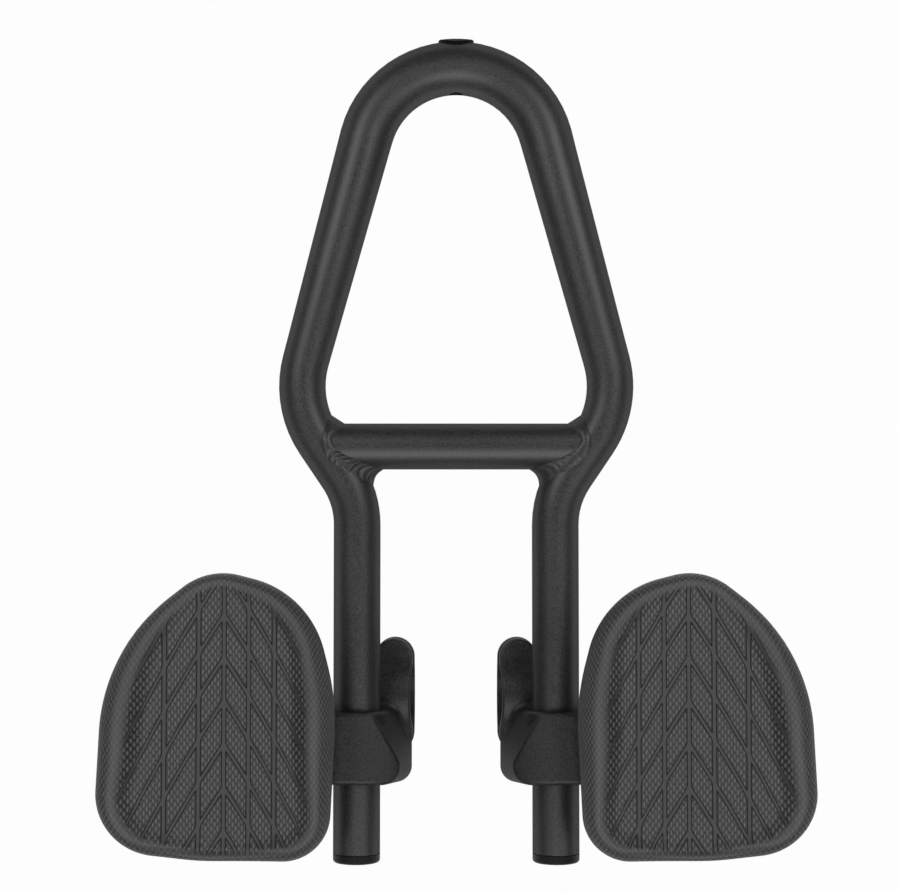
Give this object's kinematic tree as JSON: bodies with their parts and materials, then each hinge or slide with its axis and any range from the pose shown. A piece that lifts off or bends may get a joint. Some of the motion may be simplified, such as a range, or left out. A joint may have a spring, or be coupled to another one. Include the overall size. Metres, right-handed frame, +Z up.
{
  "type": "aero handlebar extension",
  "caption": "Loop-shaped aluminium aero bar extension with a welded cross brace, handlebar clamps and moulded arm pads on cups, sliding fore and aft in its clamps.",
  "frame": {"origin": "on the axis of the handlebar, midway between the two clamps", "axes": "+X across the bicycle to the rider's right, +Y forwards to the nose of the loop, +Z up"},
  "size_m": [0.3298, 0.3913, 0.0931],
  "materials": {
    "black_tube": "sandblasted black anodised, satin",
    "black_forging": "sandblasted black anodised, satin",
    "black_steel": "black oxide",
    "black_rubber": "smooth moulded",
    "black_plastic": "fine moulded grain",
    "hook_tape": "hook and loop tape",
    "pad_fabric": "knit over moulded foam"
  },
  "bodies": {
    "clamps": {"clamp_body_left": "black_forging", "clamp_body_right": "black_forging", "bar_cap_left": "black_forging", "bar_cap_right": "black_forging", "bar_cap_bolts_left": "black_steel", "bar_cap_bolts_right": "black_steel", "pinch_bolts_left": "black_steel", "pinch_bolts_right": "black_steel", "armrest_cup_left": "black_plastic", "armrest_cup_right": "black_plastic", "cup_bolts_left": "black_steel", "cup_bolts_right": "black_steel", "hook_patch_left": "hook_tape", "hook_patch_right": "hook_tape", "arm_pad_left": "pad_fabric", "arm_pad_right": "pad_fabric"},
    "extension": {"extension_loop": "black_tube", "cross_brace": "black_tube", "brace_weld_left": "black_tube", "brace_weld_right": "black_tube", "nose_plug": "black_rubber", "end_cap_left": "black_plastic", "end_cap_right": "black_plastic"}
  },
  "joints": [
    {"name": "reach", "type": "slide", "parent": "clamps", "child": "extension", "axis": [0, 1, 0], "range_m": [-0.06, 0.025]}
  ]
}
